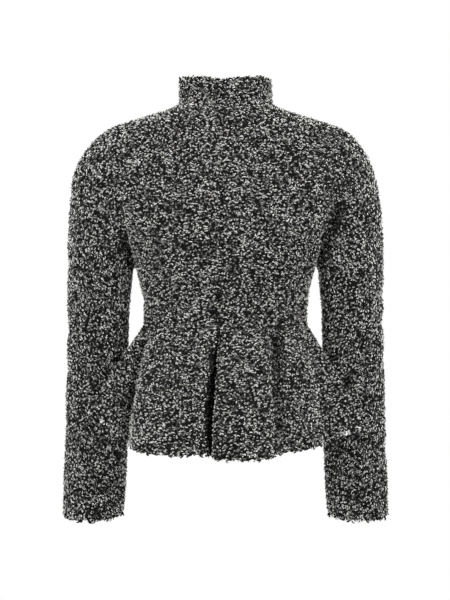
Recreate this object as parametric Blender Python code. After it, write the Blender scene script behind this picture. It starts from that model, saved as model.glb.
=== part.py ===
"""Boucle jacket with a funnel collar, set-in sleeves, a lapped front and a fluted peplum.

The jacket keeps the form it has when worn, hollow and open at neck, cuffs and hem, with its front towards -Y
and the wearer's left side towards +X. Its cloth walls follow three surfaces: rings round the body from waist
to collar, a tube round each arm, and a flared skirt of flutes under the waist seam. The origin is the middle
of the neck at the height where the shoulders begin, which is where the wearer carries it.
"""

import math

import bpy
import numpy as np

# Cloth
CLOTH = 0.0030  # thickness of the boucle
SEAM = 0.0003  # gap between two pieces along a seam
EDGE_GAP = 0.0008  # the same along the neck and the frayed edges, where the cloth twists
STEP = 1e-5  # small step for measuring how a surface faces
TURN_STEP = 0.02  # the same round an arm, where the armhole's top and bottom are tight bends

# Heights of the seams
NECK_SIDE = 0.0
NECK_FRONT = -0.016
NECK_BACK = 0.003
SHOULDER_POINT = -0.041
UNDERARM = -0.256
WAIST = -0.355
CUFF = -0.667

# The front: the wearer's left half laps over the right one
LAP_CLEAR = 0.0008  # room between the two layers
LAP_FLAT = 0.022  # the upper layer is raised as far as this from the middle
LAP_EASED = 0.075  # and lies back on the body from here
UNDERLAP = 0.016  # how far the lower layer runs on under the upper one

# Frayed edges
FRAY_BAND = 0.0030  # height of the strip that the loose ends hang from
FRAY_ROOT = 0.0030  # width of a loose end where it leaves the strip
HEM_FRAY = 0.0085
CUFF_FRAY = 0.0080
COLLAR_FRAY = 0.0045
FRAY_SEED = 11

# How finely each wall is divided
FRONT_COLUMNS = 9
BACK_COLUMNS = 16
SIDE_ROWS = 4
ARMHOLE_STEPS = 12
SHOULDER_ROWS = 5
SLEEVE_COLUMNS = 2 * ARMHOLE_STEPS
CAP_ROWS = 8
TUBE_ROWS = 8
COLLAR_ROWS = 2
PEPLUM_ROWS = 6
PEPLUM_FRONT_COLUMNS = 48
PEPLUM_BACK_COLUMNS = 52

# Rings round the body: height, half width, reach to the front, reach to the back, where the widest
# point lies (towards the back), and roundness (2 is an ellipse, less is a lens, more is squarer)
HEIGHT, HALF_WIDTH, FRONT, BACK, MIDDLE, ROUNDNESS = range(6)
BODY_RINGS = (
    (0.052, 0.0740, 0.0660, 0.0580, -0.001, 2.05),
    (0.030, 0.0755, 0.0650, 0.0605, 0.001, 2.05),
    (0.010, 0.0755, 0.0642, 0.0625, 0.002, 2.05),
    (0.000, 0.0775, 0.0645, 0.0640, 0.003, 2.05),
    (-0.0035, 0.0840, 0.0653, 0.0658, 0.003, 2.00),
    (-0.008, 0.0960, 0.0670, 0.0685, 0.004, 1.95),
    (-0.015, 0.1220, 0.0700, 0.0740, 0.005, 1.85),
    (-0.024, 0.1510, 0.0740, 0.0805, 0.006, 1.78),
    (-0.033, 0.1760, 0.0780, 0.0860, 0.007, 1.72),
    (-0.041, 0.1930, 0.0815, 0.0905, 0.008, 1.70),
    (-0.057, 0.2130, 0.0875, 0.0970, 0.008, 1.68),
    (-0.080, 0.2310, 0.0955, 0.1040, 0.008, 1.68),
    (-0.106, 0.2380, 0.1030, 0.1090, 0.008, 1.70),
    (-0.140, 0.2180, 0.1105, 0.1120, 0.008, 1.80),
    (-0.175, 0.1940, 0.1160, 0.1115, 0.006, 1.95),
    (-0.210, 0.1730, 0.1175, 0.1090, 0.004, 2.10),
    (-0.235, 0.1590, 0.1160, 0.1060, 0.003, 2.20),
    (-0.256, 0.1485, 0.1135, 0.1030, 0.002, 2.25),
    (-0.280, 0.1410, 0.1085, 0.0985, 0.001, 2.25),
    (-0.310, 0.1345, 0.1000, 0.0920, 0.000, 2.20),
    (-0.335, 0.1320, 0.0940, 0.0875, 0.000, 2.15),
    (-0.357, 0.1320, 0.0912, 0.0858, 0.000, 2.15),
)

# The armhole seam: height and distance from the middle
ARMHOLE = (
    (-0.041, 0.1930),
    (-0.080, 0.1870),
    (-0.120, 0.1800),
    (-0.165, 0.1710),
    (-0.210, 0.1605),
    (-0.240, 0.1525),
    (-0.256, 0.1485),
)

# The edge of the upper front: height and distance from the middle
FRONT_EDGE = (
    (0.052, -0.0020),
    (-0.220, -0.0025),
    (-0.300, -0.0070),
    (-0.357, -0.0140),
)

# The collar's upper edge: angle from the front in degrees, height
COLLAR_EDGE = (
    (0, 0.0335),
    (30, 0.0385),
    (60, 0.0405),
    (90, 0.0400),
    (135, 0.0430),
    (180, 0.0455),
)

# Rings round the arm: height, distance of the centre from the middle, half width, centre towards the back,
# half depth
ARM_HEIGHT, ARM_CENTRE, ARM_HALF_WIDTH, ARM_BACK, ARM_HALF_DEPTH = range(5)
ARM_RINGS = (
    (-0.285, 0.2055, 0.0515, 0.012, 0.0600),
    (-0.320, 0.2077, 0.0498, 0.016, 0.0565),
    (-0.360, 0.2088, 0.0488, 0.018, 0.0535),
    (-0.420, 0.2098, 0.0492, 0.019, 0.0500),
    (-0.490, 0.2106, 0.0497, 0.017, 0.0470),
    (-0.555, 0.2115, 0.0498, 0.013, 0.0450),
    (-0.600, 0.2130, 0.0500, 0.010, 0.0435),
    (-0.640, 0.2146, 0.0493, 0.007, 0.0420),
    (-0.680, 0.2170, 0.0478, 0.004, 0.0405),
)

# Lines of the peplum from waist to hem: angle at the waist in degrees, where the line meets the hem (to the
# side and to the front), how far below the waist that is, and how much sooner than evenly the line spreads.
# The flutes lie between the valleys.
WAIST_ANGLE, HEM_SIDE, HEM_FRONT, HEM_DROP, SPREAD = range(5)
LEFT_FRONT_LINES = (
    (-2, -0.004, 0.125, 0.203, 0.2),  # lapped front edge, folded back in the middle valley
    (-0.5, -0.017, 0.163, 0.206, 0.5),
    (10, 0.024, 0.171, 0.208, 0.7),
    (26, 0.067, 0.163, 0.207, 0.9),
    (31, 0.078, 0.152, 0.202, -0.2),  # valley, deepest under the waist
    (36, 0.088, 0.150, 0.199, 0.1),
    (42, 0.097, 0.150, 0.197, 0.7),
    (50, 0.122, 0.143, 0.194, 0.7),
    (58, 0.150, 0.117, 0.191, 0.6),
    (64, 0.155, 0.084, 0.186, 0.4),  # valley
    (69, 0.186, 0.091, 0.174, 0.0),
    (75, 0.217, 0.083, 0.163, -0.2),  # flute in front of the arm
    (80, 0.192, 0.048, 0.174, 0.1),
    (85, 0.154, 0.023, 0.190, 0.5),
    (92, 0.146, -0.015, 0.195, 0.7),  # side seam
)
RIGHT_FRONT_LINES = (
    (-92, -0.146, -0.015, 0.195, 0.7),  # side seam
    (-85, -0.154, 0.023, 0.188, 0.7),
    (-80, -0.188, 0.046, 0.160, 0.7),
    (-75, -0.216, 0.080, 0.140, 0.7),  # flute in front of the arm
    (-69, -0.180, 0.082, 0.166, 0.6),
    (-62, -0.154, 0.086, 0.189, 0.7),  # valley
    (-55, -0.144, 0.118, 0.197, 0.7),
    (-43, -0.104, 0.145, 0.202, 0.7),
    (-28, -0.063, 0.152, 0.203, 0.7),
    (-14, -0.044, 0.151, 0.202, 0.9),
    (-3, -0.026, 0.146, 0.202, 1.6),
    (-1.5, -0.027, 0.088, 0.204, 1.6),  # valley
    (3, -0.004, 0.084, 0.204, 0.0),
    (8, 0.010, 0.086, 0.204, 0.0),  # end of the lower layer
)
BACK_HALF_LINES = (
    (92, 0.146, -0.015, 0.195, 0.7),  # side seam
    (97, 0.151, -0.056, 0.193, 0.7),
    (103, 0.185, -0.089, 0.187, 0.5),
    (109, 0.198, -0.115, 0.184, 0.4),  # flute behind the arm
    (116, 0.160, -0.117, 0.187, 0.5),
    (123, 0.122, -0.100, 0.193, 0.7),  # valley
    (131, 0.121, -0.138, 0.197, 0.7),
    (141, 0.091, -0.152, 0.199, 0.7),
    (149, 0.064, -0.137, 0.200, 0.7),
    (154, 0.052, -0.109, 0.200, 0.7),  # valley
    (161, 0.045, -0.147, 0.203, 0.7),
    (180, 0.000, -0.163, 0.205, 0.7),  # middle of the back
)

BOUCLE_COLOUR = (0.105, 0.105, 0.100, 1.0)
FRAY_COLOUR = (0.150, 0.150, 0.143, 1.0)
CLOTH_ROUGHNESS = 0.95


def through(rows, column, at):
    """Values at the places `at` on a smooth curve through one column of a table, with no overshoot."""
    table = np.array(sorted(rows), float)
    x, y = table[:, 0], table[:, column]
    run = np.diff(x)
    rise = np.diff(y) / run
    slope = np.zeros(len(x))
    slope[0], slope[-1] = rise[0], rise[-1]
    same = rise[:-1] * rise[1:] > 0
    first, second = 2 * run[1:] + run[:-1], run[1:] + 2 * run[:-1]
    safe = np.where(same, rise[:-1], 1.0), np.where(same, rise[1:], 1.0)
    slope[1:-1] = np.where(same, (first + second) / (first / safe[0] + second / safe[1]), 0.0)
    at = np.asarray(at, float)
    k = np.clip(np.searchsorted(x, at) - 1, 0, len(run) - 1)
    return cubic((at - x[k]) / run[k], y[k], slope[k] * run[k], y[k + 1], slope[k + 1] * run[k])


def cubic(t, start, leaving, end, arriving):
    """The point at share t of a cubic curve with given ends and directions at its ends."""
    return (
        (2 * t**3 - 3 * t**2 + 1) * start
        + (t**3 - 2 * t**2 + t) * leaving
        + (3 * t**2 - 2 * t**3) * end
        + (t**3 - t**2) * arriving
    )


def eased(value, low, high):
    """0 up to low, 1 from high on, and a smooth rise between."""
    t = np.clip((value - low) / (high - low), 0, 1)
    return t * t * (3 - 2 * t)


def unit(vectors):
    return vectors / np.linalg.norm(vectors, axis=-1, keepdims=True)


def facing(surface, first, second, first_step=STEP):
    """The outward direction of a surface of two parameters, measured by small steps along both."""
    along_first = surface(first + first_step, second) - surface(first - first_step, second)
    along_second = surface(first, second + STEP) - surface(first, second - STEP)
    return unit(np.cross(along_first, along_second))


# Surfaces


def body(angle, height):
    """A point of the body's rings. The angle is 0 in front and a quarter turn at the wearer's left."""
    half_width, front, back, middle, roundness = (
        through(BODY_RINGS, column, height) for column in (HALF_WIDTH, FRONT, BACK, MIDDLE, ROUNDNESS)
    )
    power = 2 / roundness
    side, ahead = np.sin(angle), np.cos(angle)
    reach = np.where(ahead > 0, front + middle, back - middle)
    x = half_width * np.sign(side) * np.abs(side) ** power
    y = middle - reach * np.sign(ahead) * np.abs(ahead) ** power
    return np.stack([x, y, height + 0 * x], axis=-1)


def body_angle(x, height):
    """The angle from the front at which the ring at a height is x away from the middle."""
    share = np.clip(x / through(BODY_RINGS, HALF_WIDTH, height), -1, 1)
    return np.sign(share) * np.arcsin(np.abs(share) ** (through(BODY_RINGS, ROUNDNESS, height) / 2))


def neck_height(angle):
    """Height of the neck seam, lower in front and a little higher behind."""
    ahead = np.cos(angle)
    return NECK_SIDE + np.where(ahead > 0, NECK_FRONT, NECK_BACK) * np.abs(ahead) ** 1.5


def armhole_height(turn):
    """Height of the armhole seam; the turn runs from its top (0) past the front to the underarm (half)."""
    centre, half = (SHOULDER_POINT + UNDERARM) / 2, (SHOULDER_POINT - UNDERARM) / 2
    return centre + half * np.cos(turn)


def armhole_angle(turn):
    """Angle on the body's ring where the armhole seam passes, in front of the arm and then behind it."""
    height = armhole_height(turn)
    ahead = body_angle(through(ARMHOLE, 1, height), height)
    return np.where(np.sin(turn) >= 0, ahead, math.pi - ahead)


def armhole_point(turn):
    return body(armhole_angle(turn), armhole_height(turn))


def sleeve(turn, share):
    """A point of the left sleeve: share 0 to 1 is the cap, from armhole to arm, and 1 to 2 the tube."""
    top, cuff = ARM_RINGS[0][ARM_HEIGHT], CUFF
    height = top + (cuff - top) * np.clip(share - 1, 0, None)
    columns = (ARM_CENTRE, ARM_HALF_WIDTH, ARM_BACK, ARM_HALF_DEPTH)
    centre, half_width, back, half_depth = (through(ARM_RINGS, column, height) for column in columns)
    tube = np.stack(
        [centre + half_width * np.cos(turn), back - half_depth * np.sin(turn), height + 0 * turn], axis=-1
    )
    seam_angle, seam_height = armhole_angle(turn), armhole_height(turn)
    start = armhole_point(turn)
    seam_way = armhole_point(turn + TURN_STEP) - armhole_point(turn - TURN_STEP)
    smooth_way = unit(np.cross(seam_way, facing(body, seam_angle, seam_height)))
    smooth_way = smooth_way * np.where(smooth_way[..., :1] < 0, -1, 1)
    hanging = np.array([0.12, 0.0, -1.0])
    smoothness = eased(seam_height, -0.215, -0.105)[..., None]
    leaving = unit(smoothness * smooth_way + (1 - smoothness) * hanging)
    start = start + np.array([SEAM * 1.2, 0, 0])
    span = np.linalg.norm(tube - start, axis=-1, keepdims=True)
    fullness = (0.58 + 0.32 * np.cos(turn / 2) ** 2)[..., None] * span
    cap = cubic(
        np.clip(share, 0, 1)[..., None], start, leaving * fullness, tube, np.array([0, 0, -1.15]) * span
    )
    return np.where((share < 1)[..., None], cap, tube)


def peplum(lines):
    """The surface of one part of the peplum, by the angle at the waist in degrees and the share down."""

    def surface(degrees, share):
        waist = body(np.radians(degrees), WAIST + 0 * degrees)
        columns = (HEM_SIDE, HEM_FRONT, HEM_DROP, SPREAD)
        hem_side, hem_front, drop, spread = (through(lines, column, degrees) for column in columns)
        hem = np.stack([hem_side, -hem_front, WAIST - drop], axis=-1)
        out = share + spread * share * (1 - share)
        point = waist + (hem - waist) * out[..., None]
        point[..., 2] = WAIST - drop * share
        return point

    return surface


def raised(points, outward, upper):
    """The upper front lies over the lower one near the middle, by its thickness."""
    if not upper:
        return points
    lift = (CLOTH + LAP_CLEAR) * (1 - eased(points[..., 0], LAP_FLAT, LAP_EASED))
    return points + unit(outward * np.array([1, 1, 0])) * lift[..., None]


# Solids


def add_object(name, points, faces, colour):
    """A closed mesh with its faces turned outwards, and a cloth material of its own."""
    corners = [np.asarray(points)[list(face)] for face in faces]
    volume = sum(np.dot(c[0], np.cross(c[k], c[k + 1])) for c in corners for k in range(1, len(c) - 1))
    if volume < 0:
        faces = [face[::-1] for face in faces]
    mesh = bpy.data.meshes.new(name)
    mesh.from_pydata([tuple(p) for p in points], [], faces)
    mesh.shade_smooth()
    mesh.set_sharp_from_angle(angle=math.radians(50))
    mesh.materials.append(cloth_material(name, colour))
    made = bpy.data.objects.new(name, mesh)
    bpy.context.scene.collection.objects.link(made)
    return made


def cloth_material(name, colour):
    material = bpy.data.materials.new(name)
    material.use_nodes = True
    shader = material.node_tree.nodes["Principled BSDF"]
    shader.inputs["Base Color"].default_value = colour
    shader.inputs["Roughness"].default_value = CLOTH_ROUGHNESS
    shader.inputs["Metallic"].default_value = 0.0
    return material


def wall(outer, outward, closed=False, ends=None):
    """Points and faces of a cloth wall whose outer side is a grid of rows and columns.

    A closed wall joins its last column to its first. `ends` gives, for columns of the last row, the tip of
    a loose end that grows from there instead of the flat edge.
    """
    rows, columns = outer.shape[:2]
    inner = outer - outward * CLOTH
    points = np.concatenate([outer.reshape(-1, 3), inner.reshape(-1, 3)])
    layer = rows * columns
    spans = columns if closed else columns - 1

    def at(row, column, side):
        return side * layer + row * columns + column % columns

    faces = []
    for row in range(rows - 1):
        for k in range(spans):
            for side in (0, 1):
                ring = ((row, k), (row, k + 1), (row + 1, k + 1), (row + 1, k))
                face = tuple(at(r, c, side) for r, c in ring)
                faces.append(face if side == 0 else face[::-1])
    for k in range(spans):
        faces.append((at(0, k + 1, 0), at(0, k, 0), at(0, k, 1), at(0, k + 1, 1)))
        edge = [at(rows - 1, k, 0), at(rows - 1, k + 1, 0), at(rows - 1, k + 1, 1), at(rows - 1, k, 1)]
        if ends is None or k not in ends:
            faces.append(tuple(edge))
            continue
        tip = len(points)
        points = np.concatenate([points, [ends[k]]])
        faces += [(edge[i], edge[(i + 1) % 4], tip) for i in range(4)]
    if not closed:
        for row in range(rows - 1):
            faces.append((at(row, 0, 0), at(row + 1, 0, 0), at(row + 1, 0, 1), at(row, 0, 1)))
            faces.append(
                (
                    at(row + 1, columns - 1, 0),
                    at(row, columns - 1, 0),
                    at(row, columns - 1, 1),
                    at(row + 1, columns - 1, 1),
                )
            )
    return points, faces


def mirrored(points):
    return points * np.array([-1, 1, 1])


# Bodice


def bodice_rows():
    """Heights of a bodice's rows at the side: up the side seam, the armhole and the shoulder seam."""
    side = np.linspace(WAIST + SEAM / 2, UNDERARM, SIDE_ROWS + 1)
    armhole = armhole_height(np.linspace(math.pi, 0, ARMHOLE_STEPS + 1))[1:]
    widths = np.linspace(ARMHOLE[0][1], through(BODY_RINGS, HALF_WIDTH, NECK_SIDE), SHOULDER_ROWS + 1)[1:]
    heights = np.linspace(SHOULDER_POINT, NECK_SIDE, 200)
    shoulder = np.interp(-widths, -through(BODY_RINGS, HALF_WIDTH, heights), heights)
    return side, armhole, shoulder


def bodice_panel(start_angles, end_angles, heights, columns):
    """Angles and heights of a panel's grid between two edges; shoulder rows rise to the neck seam."""
    share = np.linspace(0, 1, columns + 1)
    angles = start_angles[:, None] + (end_angles - start_angles)[:, None] * share
    level = heights[:, None] + 0 * angles
    climb = np.clip((level - SHOULDER_POINT) / (NECK_SIDE - SHOULDER_POINT), 0, 1)
    return angles, np.where(
        climb > 0, SHOULDER_POINT + (neck_height(angles) - SHOULDER_POINT) * climb, level
    )


def armhole_edge(heights, seam_angle):
    """Where a panel ends at each row: on the side or shoulder seam, or at the armhole."""
    inside = (heights > UNDERARM + STEP) & (heights < SHOULDER_POINT - STEP)
    at_armhole = body_angle(through(ARMHOLE, 1, heights), heights)
    return np.where(inside, at_armhole, seam_angle)


def seam_gap(heights):
    """The angle by which two panels keep apart at a seam."""
    return SEAM / 2 / through(BODY_RINGS, FRONT, heights)


def front_edges(heights):
    """Angles of the upper front's edge and of the lower front's edge under it."""
    return (
        body_angle(through(FRONT_EDGE, 1, heights), heights),
        body_angle(np.full(len(heights), UNDERLAP), heights),
    )


def make_bodice():
    heights = np.concatenate(bodice_rows())
    left_edge, right_edge = front_edges(heights)
    side = armhole_edge(heights, math.pi / 2) - seam_gap(heights)
    for name, start, upper in (("left", left_edge, True), ("right", right_edge, False)):
        end = side if upper else -side
        angles, levels = bodice_panel(start, end, heights, FRONT_COLUMNS)
        outward = facing(body, angles, levels)
        outer = raised(body(angles, levels), outward, upper)
        add_object(f"bodice_front_{name}", *wall(outer, outward), BOUCLE_COLOUR)
    angles, levels = bodice_panel(math.pi - side, math.pi + side, heights, BACK_COLUMNS)
    outward = facing(body, angles, levels)
    add_object("bodice_back", *wall(body(angles, levels), outward), BOUCLE_COLOUR)


# Collar


def collar_top(angle):
    """Height of the collar's upper edge, folded so that both halves are alike."""
    degrees = np.abs((np.degrees(angle) + 180) % 360 - 180)
    return through(COLLAR_EDGE, 1, degrees)


def collar_angles():
    """The collar begins on top in front and ends underneath after a turn, on the bodice's own columns."""
    upper, lower = (edge[0] for edge in front_edges(np.array([NECK_SIDE])))
    left_side, right_side = math.pi / 2, 3 * math.pi / 2
    front_left = np.linspace(upper, left_side, FRONT_COLUMNS + 1)
    back = np.linspace(left_side, right_side, BACK_COLUMNS + 1)
    front_right = np.linspace(right_side, 2 * math.pi + lower, FRONT_COLUMNS + 1)
    return np.concatenate([front_left, back[1:], front_right[1:]])


def make_collar():
    share = np.linspace(0, 1, COLLAR_ROWS + 1)[:, None]
    angles = collar_angles() + 0 * share
    low, high = neck_height(angles) + EDGE_GAP, collar_top(angles) - FRAY_BAND - EDGE_GAP
    levels = low + (high - low) * share
    outward = facing(body, angles, levels)
    lifted = raised(body(angles, levels), outward, True)
    outer = np.where((angles < math.pi)[..., None], lifted, body(angles, levels))
    add_object("collar", *wall(outer, outward), BOUCLE_COLOUR)
    add_fray("collar_fray", outer, outward, COLLAR_FRAY)


# Sleeves


def make_sleeves():
    turns = np.linspace(0, 2 * math.pi, SLEEVE_COLUMNS, endpoint=False)
    shares = np.concatenate([np.linspace(0, 1, CAP_ROWS + 1), np.linspace(1, 2, TUBE_ROWS + 1)[1:]])
    turn, share = np.meshgrid(turns, shares)
    outer = sleeve(turn, share)
    outward = facing(sleeve, turn, share + STEP * (share == 0) - STEP * (share == 1), TURN_STEP)
    for name, points, away in (("left", outer, outward), ("right", mirrored(outer), mirrored(outward))):
        add_object(f"sleeve_{name}", *wall(points, away, closed=True), BOUCLE_COLOUR)
        add_fray(f"cuff_fray_{name}", points, away, CUFF_FRAY, closed=True)


# Peplum

BACK_LINES = BACK_HALF_LINES + tuple(
    (360 - waist, -side, *rest) for waist, side, *rest in BACK_HALF_LINES[-2::-1]
)
PEPLUM_PARTS = {
    "front_left": (LEFT_FRONT_LINES, PEPLUM_FRONT_COLUMNS, True),
    "front_right": (RIGHT_FRONT_LINES, PEPLUM_FRONT_COLUMNS, False),
    "back": (BACK_LINES, PEPLUM_BACK_COLUMNS, False),
}


def even_along_hem(surface, lines, columns):
    """Waist angles whose lines meet the hem at even distances along its curve, clear of the side seams."""
    gap = math.degrees(SEAM / 2 / BODY_RINGS[-1][FRONT])
    fine = np.linspace(lines[0][WAIST_ANGLE] + gap, lines[-1][WAIST_ANGLE] - gap, 2000)
    hem = surface(fine, np.ones_like(fine))
    length = np.concatenate([[0], np.cumsum(np.linalg.norm(np.diff(hem, axis=0), axis=1))])
    return np.interp(np.linspace(0, length[-1], columns + 1), length, fine)


def make_peplum():
    for name, (lines, columns, upper) in PEPLUM_PARTS.items():
        surface = peplum(lines)
        drop = np.mean([row[HEM_DROP] for row in lines])
        shares = np.linspace(SEAM / 2 / drop, 1 - (FRAY_BAND + EDGE_GAP) / drop, PEPLUM_ROWS + 1)
        degrees, share = np.meshgrid(even_along_hem(surface, lines, columns), shares)
        outward = -facing(surface, degrees, share)
        outer = raised(surface(degrees, share), outward, upper)
        add_object(f"peplum_{name}", *wall(outer, outward), BOUCLE_COLOUR)
        add_fray(f"hem_fray_{name}", outer, outward, HEM_FRAY)


# Frayed edges


def add_fray(name, outer, outward, reach, closed=False):
    """A strip that carries on a wall's last row beyond a seam, with a loose end at each of its columns."""
    columns = np.arange(outer.shape[1])
    after = (columns + 1) % len(columns) if closed else np.minimum(columns + 1, columns[-1])
    edge, way, away = outer[-1], outward[-1], unit(outer[-1] - outer[-2])
    root = FRAY_ROOT / np.linalg.norm(edge[after] - edge, axis=-1).clip(min=FRAY_ROOT)

    def between(values):
        pairs = np.stack([values, values + (values[after] - values) * root[:, None]], axis=1).reshape(-1, 3)
        return pairs if closed else pairs[:-1]

    edge, way, away = between(edge), between(way), between(away)
    strip = np.stack([edge + away * EDGE_GAP, edge + away * (EDGE_GAP + FRAY_BAND)])
    chance = np.random.default_rng(FRAY_SEED + len(bpy.data.objects))
    ends = range(0, len(edge) - (0 if closed else 1), 2)
    tips = {k: loose_end(strip[1], way, away, k, reach, chance) for k in ends}
    add_object(name, *wall(strip, np.stack([way, way]), closed, tips), FRAY_COLOUR)


def loose_end(edge, way, away, k, reach, chance):
    """Tip of a loose end that leaves the strip at column k, leaning, and of uneven length."""
    middle = (edge[k] + edge[k + 1] - (way[k] + way[k + 1]) * CLOTH / 2) / 2
    along = unit(edge[k + 1] - edge[k])
    lean, tilt = chance.uniform(-0.45, 0.45), chance.uniform(-0.2, 0.2)
    return middle + reach * chance.uniform(0.55, 1.0) * unit(away[k] + lean * along + tilt * way[k])


def main():
    for old in list(bpy.data.objects):
        bpy.data.objects.remove(old)
    make_bodice()
    make_collar()
    make_sleeves()
    make_peplum()


main()
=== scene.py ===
"""Looks of a boucle jacket: mottled black and ivory cloth with raised loops, creases and frayed edges."""

import collections
import functools
import math

import bpy
import numpy as np
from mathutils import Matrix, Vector


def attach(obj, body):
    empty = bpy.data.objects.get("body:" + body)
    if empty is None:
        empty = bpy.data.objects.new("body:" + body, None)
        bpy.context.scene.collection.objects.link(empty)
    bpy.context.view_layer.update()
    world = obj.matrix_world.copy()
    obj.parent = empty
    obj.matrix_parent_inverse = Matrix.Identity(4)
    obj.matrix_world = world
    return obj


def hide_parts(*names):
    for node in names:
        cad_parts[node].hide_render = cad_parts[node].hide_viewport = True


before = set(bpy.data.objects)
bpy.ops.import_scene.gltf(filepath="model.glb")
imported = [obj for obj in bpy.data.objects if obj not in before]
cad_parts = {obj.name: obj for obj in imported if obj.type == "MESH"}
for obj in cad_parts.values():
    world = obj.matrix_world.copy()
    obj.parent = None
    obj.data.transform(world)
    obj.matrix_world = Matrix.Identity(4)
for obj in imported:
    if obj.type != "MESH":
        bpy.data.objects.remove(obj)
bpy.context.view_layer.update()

bl_info = {
    "name": "Boucle jacket",
    "version": (1, 0, 0),
    "blender": (4, 5, 0),
    "location": "View3D > Sidebar > Jacket",
    "description": "Cloth, loops and frayed edges of a boucle jacket, with a stage for its picture",
    "category": "Object",
}

# Form of the jacket in metres: that of the part's solids, but the cuffs are a few millimetres longer, and
# some lines of the peplum are moved by a few millimetres
CLOTH = 0.0030  # thickness
SEAM = 0.0003  # gap between two pieces along a seam
EDGE_GAP = 0.0008  # the same along the neck
NECK_SIDE = 0.0  # heights of the neck seam: at the side, and how far from that in front and behind
NECK_FRONT = -0.016
NECK_BACK = 0.003
NECK_CURVE = 1.5
SHOULDER_POINT = -0.041
UNDERARM = -0.256
WAIST = -0.355
CUFF = -0.6725
UNDERLAP = 0.016  # how far the lower front runs on past the middle
LAP_CLEAR = 0.0008  # room between the two fronts
LAP_FLAT = 0.022  # up to here from the middle the upper front is raised, and from LAP_EASED on it isn't
LAP_EASED = 0.075
STEP = 1e-5  # small steps along a surface's parameters, to find where it faces
TURN_STEP = 0.02
HEM_STEPS = 2000  # in so many steps a hem and a shoulder are measured, to divide them evenly
SHOULDER_STEPS = 200

# Rings round the body: height, half width, reach to the front, reach to the back, where the widest
# point lies (towards the back), and roundness
HEIGHT, HALF_WIDTH, FRONT, BACK, MIDDLE, ROUNDNESS = range(6)
BODY_RINGS = (
    (0.052, 0.0740, 0.0660, 0.0580, -0.001, 2.05),
    (0.030, 0.0755, 0.0650, 0.0605, 0.001, 2.05),
    (0.010, 0.0755, 0.0642, 0.0625, 0.002, 2.05),
    (0.000, 0.0775, 0.0645, 0.0640, 0.003, 2.05),
    (-0.0035, 0.0840, 0.0653, 0.0658, 0.003, 2.00),
    (-0.008, 0.0960, 0.0670, 0.0685, 0.004, 1.95),
    (-0.015, 0.1220, 0.0700, 0.0740, 0.005, 1.85),
    (-0.024, 0.1510, 0.0740, 0.0805, 0.006, 1.78),
    (-0.033, 0.1760, 0.0780, 0.0860, 0.007, 1.72),
    (-0.041, 0.1930, 0.0815, 0.0905, 0.008, 1.70),
    (-0.057, 0.2130, 0.0875, 0.0970, 0.008, 1.68),
    (-0.080, 0.2310, 0.0955, 0.1040, 0.008, 1.68),
    (-0.106, 0.2380, 0.1030, 0.1090, 0.008, 1.70),
    (-0.140, 0.2180, 0.1105, 0.1120, 0.008, 1.80),
    (-0.175, 0.1940, 0.1160, 0.1115, 0.006, 1.95),
    (-0.210, 0.1730, 0.1175, 0.1090, 0.004, 2.10),
    (-0.235, 0.1590, 0.1160, 0.1060, 0.003, 2.20),
    (-0.256, 0.1485, 0.1135, 0.1030, 0.002, 2.25),
    (-0.280, 0.1410, 0.1085, 0.0985, 0.001, 2.25),
    (-0.310, 0.1345, 0.1000, 0.0920, 0.000, 2.20),
    (-0.335, 0.1320, 0.0940, 0.0875, 0.000, 2.15),
    (-0.357, 0.1320, 0.0912, 0.0858, 0.000, 2.15),
)

# The armhole seam: height and distance from the middle
ARMHOLE = (
    (-0.041, 0.1930),
    (-0.080, 0.1870),
    (-0.120, 0.1800),
    (-0.165, 0.1710),
    (-0.210, 0.1605),
    (-0.240, 0.1525),
    (-0.256, 0.1485),
)

# The edge of the upper front: height and distance from the middle
FRONT_EDGE = ((0.052, -0.0020), (-0.220, -0.0025), (-0.300, -0.0070), (-0.357, -0.0140))

# The collar's upper edge: angle from the front in degrees, height
COLLAR_EDGE = ((0, 0.0335), (30, 0.0385), (60, 0.0405), (90, 0.0400), (135, 0.0430), (180, 0.0455))

# Rings round the arm: height, distance of the centre from the middle, half width, centre towards the back,
# half depth
ARM_HEIGHT, ARM_CENTRE, ARM_HALF_WIDTH, ARM_BACK, ARM_HALF_DEPTH = range(5)
ARM_RINGS = (
    (-0.285, 0.2055, 0.0515, 0.012, 0.0600),
    (-0.320, 0.2077, 0.0498, 0.016, 0.0565),
    (-0.360, 0.2088, 0.0488, 0.018, 0.0535),
    (-0.420, 0.2098, 0.0492, 0.019, 0.0500),
    (-0.490, 0.2106, 0.0497, 0.017, 0.0470),
    (-0.555, 0.2115, 0.0498, 0.013, 0.0450),
    (-0.600, 0.2130, 0.0500, 0.010, 0.0435),
    (-0.640, 0.2146, 0.0493, 0.007, 0.0420),
    (-0.680, 0.2170, 0.0478, 0.004, 0.0405),
)
ARM_MIDDLE = 0.008  # towards the back; folds press in from both sides of it

# How a sleeve's cap leaves the armhole: along the body's slope above SMOOTH_TOP, and hanging below
# SMOOTH_END; its fullness under the arm and what is added over it, and how firmly it comes down to the arm
SMOOTH_END, SMOOTH_TOP = -0.215, -0.105
HANGING = (0.12, 0.0, -1.0)
CAP_START = SEAM * 1.2
CAP_FULLNESS, CAP_MORE = 0.58, 0.32
CAP_ARRIVAL = 1.15

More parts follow.
